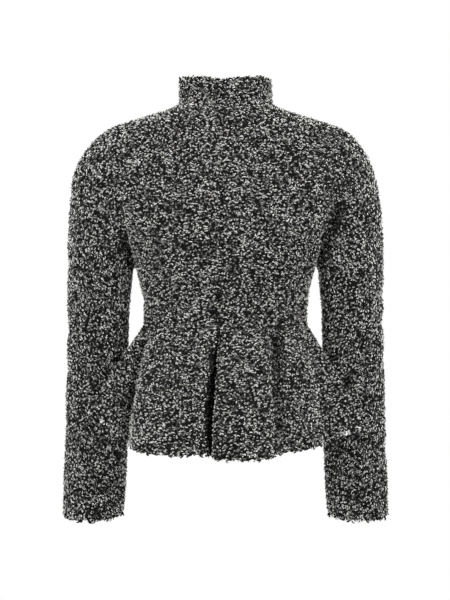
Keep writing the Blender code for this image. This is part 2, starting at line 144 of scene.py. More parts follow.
# Lines of the peplum from waist to hem: angle at the waist in degrees, where the line meets the hem (to the
# side and to the front), how far below the waist that is, and how much sooner than evenly the line spreads
WAIST_ANGLE, HEM_SIDE, HEM_FRONT, HEM_DROP, SPREAD = range(5)
LEFT_FRONT_LINES = (
    (-2, -0.010, 0.150, 0.203, 0.3),
    (-0.5, -0.017, 0.160, 0.206, 0.85),
    (10, 0.024, 0.171, 0.208, 0.7),
    (26, 0.067, 0.163, 0.207, 0.9),
    (31, 0.078, 0.152, 0.202, -0.2),
    (36, 0.088, 0.150, 0.199, 0.1),
    (42, 0.097, 0.150, 0.197, 0.7),
    (50, 0.122, 0.143, 0.194, 0.7),
    (58, 0.147, 0.117, 0.191, 0.6),
    (64, 0.162, 0.096, 0.186, 0.4),
    (69, 0.188, 0.092, 0.174, 0.3),
    (75, 0.217, 0.083, 0.163, 0.25),
    (80, 0.192, 0.048, 0.174, 0.4),
    (85, 0.154, 0.023, 0.190, 0.5),
    (92, 0.146, -0.015, 0.195, 0.7),
)
RIGHT_FRONT_LINES = (
    (-92, -0.146, -0.015, 0.195, 0.7),
    (-85, -0.154, 0.023, 0.188, 0.4),
    (-80, -0.188, 0.046, 0.160, 0.2),
    (-75, -0.216, 0.080, 0.140, 0.2),
    (-69, -0.181, 0.086, 0.166, 0.4),
    (-62, -0.157, 0.054, 0.189, 0.6),
    (-55, -0.146, 0.116, 0.196, 0.7),
    (-43, -0.104, 0.145, 0.202, 0.7),
    (-28, -0.063, 0.152, 0.203, 0.7),
    (-14, -0.046, 0.151, 0.202, 0.9),
    (-3, -0.029, 0.144, 0.202, 2.1),
    (-1.5, -0.0248, 0.114, 0.206, 2.0),
    (3, -0.008, 0.134, 0.206, -0.6),
    (8, 0.008, 0.138, 0.206, -0.9),
)
# Painted shade in the centre pleat: past this angle at the waist the lower front, as far as it shows in the
# pleat, is coloured darker to stand in for the pleat's shadow; its yarns' shades are this share of the
# others', and the change spreads over so many columns
PLEAT_SHADE_FROM, PLEAT_SHADE_SHARE, PLEAT_SHADE_SPREAD = -2.9, 0.70, 1.0
BACK_HALF_LINES = (
    (92, 0.146, -0.015, 0.195, 0.7),
    (97, 0.151, -0.056, 0.193, 0.7),
    (103, 0.185, -0.089, 0.187, 0.5),
    (109, 0.198, -0.115, 0.184, 0.4),
    (116, 0.160, -0.117, 0.187, 0.5),
    (123, 0.122, -0.100, 0.193, 0.7),
    (131, 0.121, -0.138, 0.197, 0.7),
    (141, 0.091, -0.152, 0.199, 0.7),
    (149, 0.064, -0.137, 0.200, 0.7),
    (154, 0.052, -0.109, 0.200, 0.7),
    (161, 0.045, -0.147, 0.203, 0.7),
    (180, 0.000, -0.163, 0.205, 0.7),
)
BACK_LINES = BACK_HALF_LINES + tuple(
    (360 - waist, -side, *rest) for waist, side, *rest in BACK_HALF_LINES[-2::-1]
)

# How finely the cloth is divided
FRONT_COLUMNS = 36
BACK_COLUMNS = 60
SIDE_ROWS = 18
ARMHOLE_ROWS = 44
SHOULDER_ROWS = 24
SLEEVE_COLUMNS = 88
CAP_ROWS = 30
TUBE_ROWS = 56
COLLAR_ROWS = 10
COLLAR_COLUMNS = 100
PEPLUM_ROWS = 36
PEPLUM_FRONT_COLUMNS = 90
PEPLUM_BACK_COLUMNS = 114
LOOP_POINTS = 5
FRAY_POINTS = 6
YARN_SIDES = 3
SLEEVE_LEAN = 1.2  # turn of the rows of loops on a sleeve, in radians

# Chance in the yarns: the least and the most of each
LIGHT_SHADES = (0.70, 1.0)
DARK_SHADES = (0.0, 0.6)
LOOP_BENDS = (1.5, 2.5)  # half of a curl's arc, in radians
LOOP_SIZES = (0.65, 1.35)  # these three as shares of the usual one
LOOP_GIRTHS = (0.75, 1.25)
LOOP_LIFTS = (0.5, 1.3)
TUFT_PLACES = (0.1, 0.9)  # in the tuft's own stretch of the edge
TUFT_LENGTHS = (0.5, 1.0)  # a tuft's longest end, as a share of the edge's
END_LENGTHS = (0.4, 1.0)  # an end, as a share of its tuft's longest
END_DEPTHS = (0.1, 0.8)  # where in the cloth's thickness an end begins
END_BENDS = (2.0, 5.0)  # an end's arc, in radians
END_GIRTHS = (0.7, 1.3)  # as shares of the usual one
# And the usual spread of others
TUFT_SCATTER = 0.34  # of a tuft's ends, as a share of the tufts' spacing
END_TURN = 0.35  # of an end's first direction, in radians
END_TILT = 0.3  # of an end's slope out of the cloth
RELIEF_MOST = 2  # in spreads of the cloth's relief
# How far an end first leans against its bend, how much thinner its tip is, and how near it comes to a
# corner, each as a share
END_LEAN, END_TAPER, CORNER = 0.3, 0.3, 0.002
LOOPS_STREAK, ENDS_STREAK = 600, 900  # scale of the streaks along a yarn
STREAK = 0.3  # how far they shift its shade
CELL_MARGIN = 0.06  # bare share of a yarn's cell of the bake's map

# The yarns' colours by shade
YARN_STOPS = (
    (0.0, "black"),
    (0.42, "black"),
    (0.52, "charcoal"),
    (0.62, "charcoal"),
    (0.70, "grey"),
    (0.78, "grey"),
    (0.86, "ivory"),
    (1.0, "ivory"),
)

# Creases: from and to, as shares of the piece's longest row and of its longest column, half width in metres,
# and depth in metres (below zero is a ridge); rows count up from the waist in the bodice, up from the neck
# in the collar, and down from the armhole in a sleeve
CREASES = {
    "bodice_front_left": (
        ((0.34, 0.56), (0.80, 0.60), 0.016, 0.0032),
        ((0.70, 0.29), (0.98, 0.33), 0.011, 0.0026),
        ((0.42, 0.08), (0.80, 0.12), 0.012, 0.0020),
        ((0.55, 0.20), (0.92, 0.17), 0.010, 0.0016),
        ((0.45, 0.43), (0.72, 0.47), 0.030, -0.0022),
    ),
    "bodice_front_right": (
        ((0.36, 0.55), (0.78, 0.58), 0.018, 0.0022),
        ((0.66, 0.30), (0.98, 0.35), 0.012, 0.0028),
        ((0.40, 0.11), (0.86, 0.07), 0.012, 0.0022),
        ((0.58, 0.21), (0.90, 0.24), 0.010, 0.0014),
    ),
    "bodice_back": (
        ((0.30, 0.60), (0.46, 0.55), 0.016, 0.0024),
        ((0.56, 0.54), (0.72, 0.61), 0.018, 0.0026),
        ((0.03, 0.32), (0.22, 0.27), 0.012, 0.0026),
        ((0.79, 0.28), (0.97, 0.33), 0.012, 0.0024),
        ((0.18, 0.09), (0.42, 0.12), 0.012, 0.0020),
        ((0.57, 0.10), (0.83, 0.07), 0.012, 0.0022),
    ),
    "sleeve_left": (
        ((0.16, 0.38), (0.36, 0.45), 0.013, 0.0030),
        ((0.20, 0.53), (0.42, 0.48), 0.012, 0.0028),
        ((0.14, 0.63), (0.33, 0.59), 0.014, 0.0022),
        ((0.58, 0.50), (0.80, 0.54), 0.015, 0.0020),
        ((0.45, 0.72), (0.70, 0.69), 0.016, 0.0018),
        ((0.22, 0.84), (0.48, 0.80), 0.014, 0.0018),
    ),
    "sleeve_right": (
        ((0.14, 0.41), (0.34, 0.36), 0.013, 0.0028),
        ((0.18, 0.50), (0.40, 0.55), 0.013, 0.0030),
        ((0.16, 0.66), (0.38, 0.61), 0.013, 0.0024),
        ((0.56, 0.55), (0.82, 0.50), 0.015, 0.0022),
        ((0.30, 0.76), (0.58, 0.79), 0.016, 0.0018),
        ((0.55, 0.88), (0.78, 0.85), 0.014, 0.0016),
    ),
    "collar": (
        ((0.20, 0.10), (0.24, 0.90), 0.012, 0.0012),
        ((0.70, 0.15), (0.66, 0.85), 0.012, 0.0014),
    ),
}

# Folds that cross from one piece to the next, seen from the front: from and to, as distances to the side and
# heights, half width and depth
FRONT_FOLDS = (
    ((0.182, -0.172), (0.153, -0.249), 0.008, 0.028),
    ((-0.163, -0.226), (-0.152, -0.256), 0.009, 0.028),
    ((0.079, -0.382), (0.083, -0.425), 0.008, 0.028),
    ((0.083, -0.425), (0.084, -0.545), 0.0045, 0.010),
    ((-0.148, -0.470), (-0.178, -0.492), 0.010, 0.013),
)
BACK_FOLDS = (
    ((0.172, -0.175), (0.152, -0.248), 0.010, 0.012),
    ((-0.176, -0.170), (-0.152, -0.248), 0.010, 0.012),
)

# Where the shoulders and cuffs hang unevenly: a centre in the front view, how far round it, and the move
UNEVEN = (
    ((-0.240, -0.112), 0.035, (-0.005, 0.0, 0.0)),
    ((-0.125, -0.020), 0.050, (0.0, 0.0, -0.0025)),
    ((0.125, -0.020), 0.050, (0.0, 0.0, -0.0025)),
    ((-0.266, -0.676), 0.014, (0.001, 0.0, 0.006)),
    ((-0.168, -0.676), 0.015, (-0.001, 0.0, 0.007)),
    ((0.168, -0.676), 0.014, (0.001, 0.0, 0.006)),
    ((0.266, -0.676), 0.014, (-0.001, 0.0, 0.006)),
)

# Painted light: pieces whose loops are made lighter to stand in for the brighter light from above on the
# collar; share of light loops added
PAINTED_TOP_LIGHT = {"collar": 0.12}

# Longer tufts on the frayed edges: where on the edge, as a share of its length, half width as a share too,
# and how much longer the ends are there
LONG_TUFTS = {"collar_fray_ends": (0.728, 0.010, 1.2)}
NO_LONG_TUFT = (0.5, 1.0, 0.0)

# The lights, each a disk: name, place, width and the setting of its power; and the place they are aimed at
LIGHTS = (
    ("key_light", (-2.0, -1.9, 1.0), 1.8, "key_power"),
    ("fill_light", (2.0, -1.9, 0.9), 1.8, "fill_power"),
    ("top_light", (0.0, -0.9, 1.9), 1.6, "top_power"),
)
LIT_PLACE = (0, 0, -0.32)
CAMERA_SIDE = -0.0008  # how far the camera is beside the middle
SENSOR_HEIGHT = 24.0  # in millimetres
FLOOR_RINGS, FLOOR_SPOKES, FLOOR_HOLE = 24, 96, 0.01

# A piece of cloth: a grid of points on its face and the directions out of it, whether its last column meets
# its first, the turn of its rows of loops, the column from which painted shade darkens it inside the centre
# pleat, and distances over the grid
Cloth = collections.namedtuple("Cloth", "form outward closed lean light_to across along")


# Curves and surfaces


def through(rows, column, at):
    """Values at the places `at` on a smooth curve through one column of a table.

    Between two rows it is a cubic whose slopes are weighted harmonic means of the neighbouring rises, or
    level where the rise changes sign, so it never overshoots.
    """
    table = np.array(sorted(rows), float)
    x, y = table[:, 0], table[:, column]
    run = np.diff(x)
    rise = np.diff(y) / run
    slope = np.zeros(len(x))
    slope[0], slope[-1] = rise[0], rise[-1]
    same = rise[:-1] * rise[1:] > 0
    first, second = 2 * run[1:] + run[:-1], run[1:] + 2 * run[:-1]
    safe = np.where(same, rise[:-1], 1.0), np.where(same, rise[1:], 1.0)
    slope[1:-1] = np.where(same, (first + second) / (first / safe[0] + second / safe[1]), 0.0)
    at = np.asarray(at, float)
    k = np.clip(np.searchsorted(x, at) - 1, 0, len(run) - 1)
    return cubic((at - x[k]) / run[k], y[k], slope[k] * run[k], y[k + 1], slope[k + 1] * run[k])


def cubic(t, start, leaving, end, arriving):
    """The point at share t of a cubic curve with given ends and directions at its ends."""
    return (
        (2 * t**3 - 3 * t**2 + 1) * start
        + (t**3 - 2 * t**2 + t) * leaving
        + (3 * t**2 - 2 * t**3) * end
        + (t**3 - t**2) * arriving
    )


def eased(value, low, high):
    """0 up to low, 1 from high on, and between them three squares less two cubes of the share."""
    t = np.clip((value - low) / (high - low), 0, 1)
    return t * t * (3 - 2 * t)


def unit(vectors):
    """Each vector divided by its length."""
    return vectors / np.linalg.norm(vectors, axis=-1, keepdims=True)


def facing(surface, first, second, first_step=STEP):
    """The outward direction of a surface: the cross product of small steps along its two parameters."""
    along_first = surface(first + first_step, second) - surface(first - first_step, second)
    along_second = surface(first, second + STEP) - surface(first, second - STEP)
    return unit(np.cross(along_first, along_second))


def body(angle, height):
    """A point of the body's rings, by angle (0 in front, a quarter turn at the wearer's left) and height.

    Across it is the half width times the sine, and to the front the reach times the cosine, each raised to
    two over the ring's roundness.
    """
    half_width, front, back, middle, roundness = (
        through(BODY_RINGS, column, height) for column in (HALF_WIDTH, FRONT, BACK, MIDDLE, ROUNDNESS)
    )
    power = 2 / roundness
    side, ahead = np.sin(angle), np.cos(angle)
    reach = np.where(ahead > 0, front + middle, back - middle)
    x = half_width * np.sign(side) * np.abs(side) ** power
    y = middle - reach * np.sign(ahead) * np.abs(ahead) ** power
    return np.stack([x, y, height + 0 * x], axis=-1)


def body_angle(x, height):
    """The angle from the front at which the ring at a height is x away from the middle."""
    share = np.clip(x / through(BODY_RINGS, HALF_WIDTH, height), -1, 1)
    return np.sign(share) * np.arcsin(np.abs(share) ** (through(BODY_RINGS, ROUNDNESS, height) / 2))


def neck_height(angle):
    """Height of the neck seam: it leaves the side's height by the cosine raised to one and a half."""
    ahead = np.cos(angle)
    return NECK_SIDE + np.where(ahead > 0, NECK_FRONT, NECK_BACK) * np.abs(ahead) ** NECK_CURVE


def armhole_height(turn):
    """Height of the armhole seam: its middle height plus half its whole height times the turn's cosine."""
    centre, half = (SHOULDER_POINT + UNDERARM) / 2, (SHOULDER_POINT - UNDERARM) / 2
    return centre + half * np.cos(turn)


def armhole_angle(turn):
    """Angle on the body's ring where the armhole seam passes, in front of the arm and then behind it."""
    height = armhole_height(turn)
    ahead = body_angle(through(ARMHOLE, 1, height), height)
    return np.where(np.sin(turn) >= 0, ahead, math.pi - ahead)


def armhole_point(turn):
    """The armhole seam's point on the body's ring."""
    return body(armhole_angle(turn), armhole_height(turn))


def sleeve(turn, share):
    """A point of the left sleeve, by the turn round the arm and the share of the way down.

    From 0 to 1 it follows a cubic curve from the armhole seam to the arm's first ring, leaving along the
    body's own slope above and hanging below; from 1 to 2 it lies on ellipses round the arm.
    """
    top = ARM_RINGS[0][ARM_HEIGHT]
    height = top + (CUFF - top) * np.clip(share - 1, 0, None)
    columns = (ARM_CENTRE, ARM_HALF_WIDTH, ARM_BACK, ARM_HALF_DEPTH)
    centre, half_width, back, half_depth = (through(ARM_RINGS, column, height) for column in columns)
    tube = np.stack(
        [centre + half_width * np.cos(turn), back - half_depth * np.sin(turn), height + 0 * turn], axis=-1
    )
    seam_angle, seam_height = armhole_angle(turn), armhole_height(turn)
    start = armhole_point(turn)
    seam_way = armhole_point(turn + TURN_STEP) - armhole_point(turn - TURN_STEP)
    smooth_way = unit(np.cross(seam_way, facing(body, seam_angle, seam_height)))
    smooth_way = smooth_way * np.where(smooth_way[..., :1] < 0, -1, 1)
    smoothness = eased(seam_height, SMOOTH_END, SMOOTH_TOP)[..., None]
    leaving = unit(smoothness * smooth_way + (1 - smoothness) * np.array(HANGING))
    start = start + np.array([CAP_START, 0, 0])
    span = np.linalg.norm(tube - start, axis=-1, keepdims=True)
    fullness = (CAP_FULLNESS + CAP_MORE * np.cos(turn / 2) ** 2)[..., None] * span
    arriving = np.array([0, 0, -CAP_ARRIVAL]) * span
    cap = cubic(np.clip(share, 0, 1)[..., None], start, leaving * fullness, tube, arriving)
    return np.where((share < 1)[..., None], cap, tube)


def peplum(lines):
    """The surface of one part of the peplum, by the angle at the waist in degrees and the share down.

    A point lies between its waist point and its hem point, by the share plus the line's spread times the
    share times what is left of it.
    """

    def surface(degrees, share):
        waist = body(np.radians(degrees), WAIST + 0 * degrees)
        columns = (HEM_SIDE, HEM_FRONT, HEM_DROP, SPREAD)
        hem_side, hem_front, drop, spread = (through(lines, column, degrees) for column in columns)
        hem = np.stack([hem_side, -hem_front, WAIST - drop], axis=-1)
        out = share + spread * share * (1 - share)
        point = waist + (hem - waist) * out[..., None]
        point[..., 2] = WAIST - drop * share
        return point

    return surface


def raised(points, outward):
    """The upper front lies over the lower one near the middle, by the cloth's thickness."""
    lift = (CLOTH + LAP_CLEAR) * (1 - eased(points[..., 0], LAP_FLAT, LAP_EASED))
    return points + unit(outward * np.array([1, 1, 0])) * lift[..., None]


# Pieces of cloth as grids


def wrapped(form, closed):
    """A grid, with its first column once more at the end if it is closed."""
    return np.concatenate([form, form[:, :1]], axis=1) if closed else form


def measured(form, closed):
    """Distances over a grid: along each row from its start, and along each column from its start."""
    wide = wrapped(form, closed)
    across = np.cumsum(np.linalg.norm(np.diff(wide, axis=1), axis=2), axis=1)
    along = np.cumsum(np.linalg.norm(np.diff(wide, axis=0), axis=2), axis=0)
    return np.pad(across, ((0, 0), (1, 0))), np.pad(along, ((1, 0), (0, 0)))


def cloth_of(form, outward, closed=False, lean=0.0, light_to=math.inf):
    """A cloth with its distances; past the given column its cloth and yarns get painted shade, for the
    shadow inside the centre pleat.
    """
    return Cloth(form, outward, closed, lean, light_to, *measured(form, closed))


def face_areas(cloth):
    """Areas of the grid's faces: half the cross product of each face's diagonals."""
    wide = wrapped(cloth.form, cloth.closed)
    first, second = wide[1:, 1:] - wide[:-1, :-1], wide[1:, :-1] - wide[:-1, 1:]
    return np.linalg.norm(np.cross(first, second), axis=-1) / 2


def bodice_cloth(name):
    """A bodice panel: even angles between its edges on rows up the side, the armhole and the shoulder."""
    side_rows = np.linspace(WAIST + SEAM / 2, UNDERARM, SIDE_ROWS + 1)
    armhole_rows = armhole_height(np.linspace(math.pi, 0, ARMHOLE_ROWS + 1))[1:]
    widths = np.linspace(ARMHOLE[0][1], through(BODY_RINGS, HALF_WIDTH, NECK_SIDE), SHOULDER_ROWS + 1)[1:]
    shoulder = np.linspace(SHOULDER_POINT, NECK_SIDE, SHOULDER_STEPS)
    shoulder_rows = np.interp(-widths, -through(BODY_RINGS, HALF_WIDTH, shoulder), shoulder)
    heights = np.concatenate([side_rows, armhole_rows, shoulder_rows])
    at_armhole = (heights > UNDERARM + STEP) & (heights < SHOULDER_POINT - STEP)
    seam = np.where(at_armhole, body_angle(through(ARMHOLE, 1, heights), heights), math.pi / 2)
    seam = seam - SEAM / 2 / through(BODY_RINGS, FRONT, heights)
    start, end, columns = {
        "bodice_front_left": (body_angle(through(FRONT_EDGE, 1, heights), heights), seam, FRONT_COLUMNS),
        "bodice_front_right": (body_angle(0 * heights + UNDERLAP, heights), -seam, FRONT_COLUMNS),
        "bodice_back": (math.pi - seam, math.pi + seam, BACK_COLUMNS),
    }[name]
    angles = start[:, None] + (end - start)[:, None] * np.linspace(0, 1, columns + 1)
    level = heights[:, None] + 0 * angles
    climb = np.clip((level - SHOULDER_POINT) / (NECK_SIDE - SHOULDER_POINT), 0, 1)
    level = np.where(climb > 0, SHOULDER_POINT + (neck_height(angles) - SHOULDER_POINT) * climb, level)
    outward = facing(body, angles, level)
    form = body(angles, level)
    return cloth_of(raised(form, outward) if name == "bodice_front_left" else form, outward)


def collar_cloth():
    """The collar: a whole turn and the underlap, from the neck seam up to the collar's edge."""
    start = body_angle(through(FRONT_EDGE, 1, NECK_SIDE), np.array(NECK_SIDE))
    end = 2 * math.pi + body_angle(np.array(UNDERLAP), np.array(NECK_SIDE))
    turns, shares = np.linspace(start, end, COLLAR_COLUMNS + 1), np.linspace(0, 1, COLLAR_ROWS + 1)
    angles, share = np.meshgrid(turns, shares)
    degrees = np.abs((np.degrees(angles) + 180) % 360 - 180)
    low, high = neck_height(angles) + EDGE_GAP, through(COLLAR_EDGE, 1, degrees)
    level = low + (high - low) * share
    outward, form = facing(body, angles, level), body(angles, level)
    return cloth_of(np.where((angles < math.pi)[..., None], raised(form, outward), form), outward)


def sleeve_cloth(name):
    """A sleeve: a closed tube whose first column lies under the arm; the right one mirrors the left."""
    turns = np.linspace(math.pi, 3 * math.pi, SLEEVE_COLUMNS, endpoint=False)
    shares = np.concatenate([np.linspace(0, 1, CAP_ROWS + 1), np.linspace(1, 2, TUBE_ROWS + 1)[1:]])
    turn, share = np.meshgrid(turns, shares)
    form = sleeve(turn, share)
    outward = facing(sleeve, turn, share + STEP * (share == 0) - STEP * (share == 1), TURN_STEP)
    side = np.array([1 if name == "sleeve_left" else -1, 1, 1])
    return cloth_of(form * side, outward * side, closed=True, lean=SLEEVE_LEAN)


def peplum_cloth(name):
    """A part of the peplum: lines at even distances along the hem, from the waist seam down."""
    lines, columns = {
        "peplum_front_left": (LEFT_FRONT_LINES, PEPLUM_FRONT_COLUMNS),
        "peplum_front_right": (RIGHT_FRONT_LINES, PEPLUM_FRONT_COLUMNS),
        "peplum_back": (BACK_LINES, PEPLUM_BACK_COLUMNS),
    }[name]
    surface = peplum(lines)
    gap = math.degrees(SEAM / 2 / BODY_RINGS[-1][FRONT])
    fine = np.linspace(lines[0][WAIST_ANGLE] + gap, lines[-1][WAIST_ANGLE] - gap, HEM_STEPS)
    hem = surface(fine, np.ones_like(fine))
    length = np.pad(np.cumsum(np.linalg.norm(np.diff(hem, axis=0), axis=1)), (1, 0))
    even = np.interp(np.linspace(0, length[-1], columns + 1), length, fine)
    drop = np.mean([row[HEM_DROP] for row in lines])
    degrees, share = np.meshgrid(even, np.linspace(SEAM / 2 / drop, 1, PEPLUM_ROWS + 1))
    outward, form = -facing(surface, degrees, share), surface(degrees, share)
    # The right front's lower layer gets painted shade from the pleat's waist angle on, where it lies deep in
    # the centre pleat
    if name == "peplum_front_right":
        return cloth_of(form, outward, light_to=int(np.searchsorted(even, PLEAT_SHADE_FROM)))
    return cloth_of(raised(form, outward) if name == "peplum_front_left" else form, outward)


def near_line(places, start, end, width):
    """How near places are to a straight line between two others: a bell curve of the distance."""
    way, offset = end - start, places - start
    share = np.clip(offset @ way / (way @ way), 0, 1)
    distance = np.linalg.norm(offset - share[..., None] * way, axis=-1)
    return np.exp(-((distance / width) ** 2))


def creased(name, cloth):
    """How far each grid point is pushed out: less the sum of its creases, each a bell curve of the distance
    to a straight line on the flat cloth, and less a soft roll along the cloth's own edges."""
    across, along = (distance[:, : cloth.form.shape[1]] for distance in (cloth.across, cloth.along))
    wide, tall = cloth.across[:, -1].max(), cloth.along[-1].max()
    out = np.zeros(across.shape)
    for start, end, width, depth in CREASES.get(name, ()):
        begin, finish = np.array(start) * (wide, tall), np.array(end) * (wide, tall)
        out -= depth * near_line(np.stack([across, along], axis=-1), begin, finish, width)
    sizes = bpy.context.scene.jacket_sizes
    to_edge = np.minimum(along, cloth.along[-1:, : along.shape[1]] - along)
    if not cloth.closed:
        to_edge = np.minimum(to_edge, np.minimum(across, cloth.across[:, -1:] - across))
    return out - sizes.edge_roll * np.exp(-((to_edge / sizes.edge_roll_width) ** 2))


def folded(points):
    """Points pushed inwards along the folds: a bell curve of the distance from each fold's line, as seen
    from the front, pushes those before the arm's middle to the back, and the others to the front."""
    ahead = points[..., 1] < ARM_MIDDLE
    push = np.zeros(ahead.shape)
    for folds, side in ((FRONT_FOLDS, ahead), (BACK_FOLDS, ~ahead)):
        for start, end, width, depth in folds:
            near = near_line(points[..., (0, 2)], np.array(start), np.array(end), width)
            push += np.where(side, depth, 0) * near * np.where(ahead, 1, -1)
    return points + push[..., None] * np.array([0, 1, 0])


def settled(points):
    """Points moved where the jacket hangs unevenly: each move fades as a bell curve of the distance from its
    centre, as seen from the front."""
    for centre, radius, move in UNEVEN:
        distance = np.linalg.norm(points[..., (0, 2)] - np.array(centre), axis=-1)
        points = points + np.exp(-((distance / radius) ** 2))[..., None] * np.array(move)
    return points


# Meshes


def mesh_object(name, points, faces, maps, material):
    """A smooth mesh from whole arrays: points, faces and, for each map, a place for every face's corner."""
    mesh = bpy.data.meshes.new(name)
    mesh.from_pydata(points.tolist(), [], faces.tolist())
    for title, places in maps.items():
        mesh.uv_layers.new(name=title).data.foreach_set("uv", places.astype(np.float32).ravel())
    mesh.shade_smooth()
    mesh.materials.append(material)
    made = bpy.data.objects.new(name, mesh)
    bpy.context.scene.collection.objects.link(made)
    return made


def shell(name, outer, inner, closed, material):
    """A closed thin shell: the outer grid, the inner grid turned round, and strips that join their edges."""
    rows, columns = outer.shape[:2]
    layer, spans = rows * columns, columns if closed else columns - 1
    row, column = np.meshgrid(np.arange(rows - 1), np.arange(spans), indexing="ij")
    ring = [(row, column), (row, column + 1), (row + 1, column + 1), (row + 1, column)]
    face = np.stack([(r * columns + c % columns).ravel() for r, c in ring], axis=-1)
    k, r = np.arange(spans), np.arange(rows - 1)
    edges = [(0 * k, k + 1, 0 * k, k), (0 * k + rows - 1, k, 0 * k + rows - 1, k + 1)]
    if not closed:
        edges += [(r, 0 * r, r + 1, 0 * r), (r + 1, 0 * r + spans, r, 0 * r + spans)]
    faces = [face, face[:, ::-1] + layer]
    for r0, c0, r1, c1 in edges:
        first, second = r0 * columns + c0 % columns, r1 * columns + c1 % columns
        faces.append(np.stack([first, second, second + layer, first + layer], axis=-1))
    points, faces = np.concatenate([outer.reshape(-1, 3), inner.reshape(-1, 3)]), np.concatenate(faces)
    a, b, c, d = (points[faces[:, n]] for n in range(4))
    if np.sum(a * np.cross(b, c) + a * np.cross(c, d)) < 0:
        faces = faces[:, ::-1]
    return mesh_object(name, points, faces, {}, material)


def yarns(name, centres, girths, up, shade, material):
    """Short pieces of yarn: a three-sided tube round each path, pointed at both ends.

    Corner k of a ring is the path's point plus its girth times the directions aside and up, by the cosine
    and sine of k thirds of a turn. Each yarn has its own shade and its own cell of the bake's map.
    """
    count, rings = len(centres), centres.shape[1] - 2
    way = unit(centres[:, 2:] - centres[:, :-2])
    aside = unit(np.cross(up[:, None], way))
    over = np.cross(way, aside)
    angle = (np.arange(YARN_SIDES) * 2 * math.pi / YARN_SIDES + math.pi / 2)[:, None]
    out = np.cos(angle) * aside[:, :, None] + np.sin(angle) * over[:, :, None]
    tube = centres[:, 1:-1, None] + girths[:, 1:-1, None, None] * out
    points = np.concatenate([centres[:, (0, -1)], tube.reshape(count, -1, 3)], axis=1)
    first, after = np.arange(YARN_SIDES), np.arange(YARN_SIDES) + 1
    row, k = (grid.ravel() for grid in np.meshgrid(np.arange(rings - 1), first, indexing="ij"))

    def at(ring, corner):
        return 2 + ring * YARN_SIDES + corner % YARN_SIDES

    faces = [
        (at(row, k), at(row, k + 1), at(row + 1, k + 1)),
        (at(row, k), at(row + 1, k + 1), at(row + 1, k)),
        (0 * first, at(0, after), at(0, first)),
        (0 * first + 1, at(rings - 1, first), at(rings - 1, after)),
    ]
    spots = [
        ((row + 1, k), (row + 1, k + 1), (row + 2, k + 1)),
        ((row + 1, k), (row + 2, k + 1), (row + 2, k)),
        ((0 * first, first + 0.5), (0 * first + 1, after), (0 * first + 1, first)),
        ((0 * first + rings + 1, first + 0.5), (0 * first + rings, first), (0 * first + rings, after)),
    ]
    face = np.concatenate([np.stack(corners, axis=-1) for corners in faces])
    spot = np.concatenate([np.stack([np.stack(s, axis=-1) for s in corners], axis=1) for corners in spots])
    spot = CELL_MARGIN + (1 - 2 * CELL_MARGIN) * spot / (rings + 1, YARN_SIDES)
    cells = math.ceil(math.sqrt(count))
    cell = np.stack([np.arange(count) % cells, np.arange(count) // cells], axis=-1)
    places = (cell[:, None, None, :] + spot) / cells
    all_faces = (face + np.arange(count)[:, None, None] * points.shape[1]).reshape(-1, 3)
    made = mesh_object(name, points.reshape(-1, 3), all_faces, {"OFBake": places}, material)
    shades = made.data.attributes.new("yarn", "FLOAT", "POINT")
    shades.data.foreach_set("value", np.repeat(shade, points.shape[1]).astype(np.float32))
    return made


def sampled(grid, row, column, closed):
    """Values between the points of a grid, mixed in proportion along rows and columns."""
    rows, columns = grid.shape[:2]
    r = np.clip(row.astype(int), 0, rows - 2)
    c = np.floor(column).astype(int)
    c = c % columns if closed else np.clip(c, 0, columns - 2)
    after = (c + 1) % columns
    s = (row - r)[:, None]
    t = (column - (np.floor(column) if closed else c))[:, None]
    upper = grid[r, c] * (1 - t) + grid[r, after] * t
    lower = grid[r + 1, c] * (1 - t) + grid[r + 1, after] * t
    return upper * (1 - s) + lower * s


def loop_places(cloth, sizes, chance):
    """Rows and columns of the loops, as many to an area everywhere.

    Going through the grid's faces, the running total of their areas, over the area of one loop, gives each
    face its loops, which chance then shakes.
    """
    areas = face_areas(cloth)
    total = np.floor(np.cumsum(areas.ravel()) / (sizes.loop_row * sizes.loop_spacing))
    count = np.diff(total, prepend=0).astype(int)
    face = np.repeat(np.arange(len(count)), count)
    number = np.arange(len(face)) - np.repeat(np.cumsum(count) - count, count)
    row, column = np.divmod(face, areas.shape[1])
    return row + chance.random(len(face)), column + (number + chance.random(len(face))) / count[face]


def yarn_shades(count, light_share, chance):
    """Shades of pieces of yarn: light or dark by chance, and uneven within each."""
    light = chance.random(count) < light_share
    return np.where(light, chance.uniform(*LIGHT_SHADES, count), chance.uniform(*DARK_SHADES, count))


